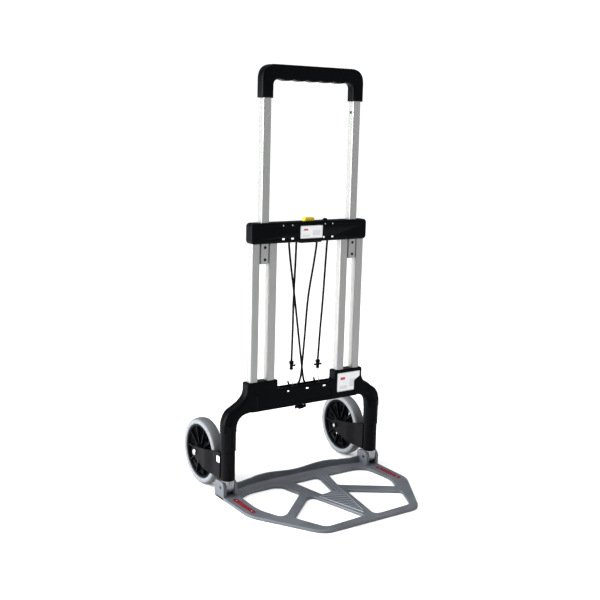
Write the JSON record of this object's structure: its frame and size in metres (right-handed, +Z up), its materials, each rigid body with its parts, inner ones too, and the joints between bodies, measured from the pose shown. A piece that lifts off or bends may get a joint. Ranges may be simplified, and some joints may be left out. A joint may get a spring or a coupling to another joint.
{
  "type": "folding hand truck",
  "caption": "Folding hand truck with a telescopic handle, a hinged cast toe plate, wheels on forks that fold flat, a release button and an elastic cord.",
  "frame": {"origin": "on the floor, midway between the wheels, below the posts and the hinge axis of the toe plate", "axes": "+X across the truck to its right-hand wheel, +Y back to the wheels (the load stands on the -Y side), +Z up along the rails"},
  "size_m": [0.5302, 0.5334, 1.1],
  "materials": {
    "black_plastic": "fine satin texture",
    "aluminium_profile": "satin anodised",
    "toe_casting": "fine textured paint on cast aluminium",
    "foot_casting": "as cast",
    "steel": "plated",
    "grey_tyre": "matt grey",
    "red_plastic": "semi-gloss deep red",
    "yellow_plastic": "semi-gloss yellow",
    "label": "blank, slightly glossy",
    "pad_rubber": "matt",
    "cord": "braided"
  },
  "bodies": {
    "frame": {"lower_bracket": "black_plastic", "crossbar_front": "black_plastic", "crossbar_rear": "black_plastic", "crossbar_cover": "black_plastic", "crossbar_label": "label", "tower_label": "label", "rail_left_outer": "aluminium_profile", "rail_right_outer": "aluminium_profile", "rail_left_inner": "aluminium_profile", "rail_right_inner": "aluminium_profile", "rail_bumper_left": "pad_rubber", "rail_bumper_right": "pad_rubber", "post_left": "foot_casting", "post_right": "foot_casting", "thrust_washer_left": "steel", "thrust_washer_right": "steel", "latch_spring_left": "steel", "latch_spring_right": "steel", "cord_left": "cord", "cord_right": "cord", "cord_knot": "cord", "cord_hook_left": "black_plastic", "cord_hook_right": "black_plastic", "wire_hook_left": "steel", "wire_hook_right": "steel"},
    "toe_plate": {"toe_plate": "toe_casting", "red_strip_left": "red_plastic", "red_strip_right": "red_plastic", "strip_screw_left_front": "steel", "strip_screw_right_front": "steel", "strip_screw_left_rear": "steel", "strip_screw_right_rear": "steel", "hinge_pin_left": "steel", "hinge_pin_right": "steel"},
    "handle": {"handle_grip": "black_plastic", "tube_left": "aluminium_profile", "tube_right": "aluminium_profile", "slider_left": "black_plastic", "slider_right": "black_plastic"},
    "release_button": {"release_button": "yellow_plastic"},
    "latch_pin_left": {"latch_pin_left": "steel"},
    "fork_left": {"fork_left": "black_plastic", "axle_bolt_left": "steel", "axle_nut_left": "steel"},
    "wheel_left": {"tyre_left": "grey_tyre", "hub_left": "black_plastic", "bush_left_inner": "steel", "bush_left_outer": "steel"},
    "latch_pin_right": {"latch_pin_right": "steel"},
    "fork_right": {"fork_right": "black_plastic", "axle_bolt_right": "steel", "axle_nut_right": "steel"},
    "wheel_right": {"tyre_right": "grey_tyre", "hub_right": "black_plastic", "bush_right_inner": "steel", "bush_right_outer": "steel"}
  },
  "joints": [
    {"name": "toe_plate_fold", "type": "hinge", "parent": "frame", "child": "toe_plate", "pos_m": [0, 0, 0.03], "axis": [-1, 0, 0], "range_deg": [0, 90]},
    {"name": "fork_left_fold", "type": "hinge", "parent": "frame", "child": "fork_left", "pos_m": [-0.232, 0, 0.089], "axis": [0, 0, -1], "range_deg": [0, 90]},
    {"name": "fork_right_fold", "type": "hinge", "parent": "frame", "child": "fork_right", "pos_m": [0.232, 0, 0.089], "axis": [0, 0, 1], "range_deg": [0, 90]},
    {"name": "wheel_left_spin", "type": "hinge", "parent": "fork_left", "child": "wheel_left", "pos_m": [-0.232, 0.128, 0.089], "axis": [1, 0, 0], "continuous": true},
    {"name": "wheel_right_spin", "type": "hinge", "parent": "fork_right", "child": "wheel_right", "pos_m": [0.232, 0.128, 0.089], "axis": [1, 0, 0], "continuous": true},
    {"name": "handle_slide", "type": "slide", "parent": "frame", "child": "handle", "axis": [0, 0, 1], "range_m": [-0.306, 0]},
    {"name": "release_button_press", "type": "slide", "parent": "frame", "child": "release_button", "axis": [0, 0, -1], "range_m": [0, 0.006], "stiffness_N_per_m": 600, "springref_m": -0.004},
    {"name": "latch_pin_left_draw", "type": "slide", "parent": "frame", "child": "latch_pin_left", "axis": [1, 0, 0], "range_m": [0, 0.006], "deforming": ["latch_spring_left"]},
    {"name": "latch_pin_right_draw", "type": "slide", "parent": "frame", "child": "latch_pin_right", "axis": [-1, 0, 0], "range_m": [0, 0.006], "deforming": ["latch_spring_right"]}
  ],
  "couplings": [
    {"joint": "fork_left_fold", "follows": "toe_plate_fold", "ratio": 1},
    {"joint": "fork_right_fold", "follows": "toe_plate_fold", "ratio": 1},
    {"joint": "latch_pin_left_draw", "follows": "release_button_press", "ratio": 1},
    {"joint": "latch_pin_right_draw", "follows": "release_button_press", "ratio": 1}
  ]
}
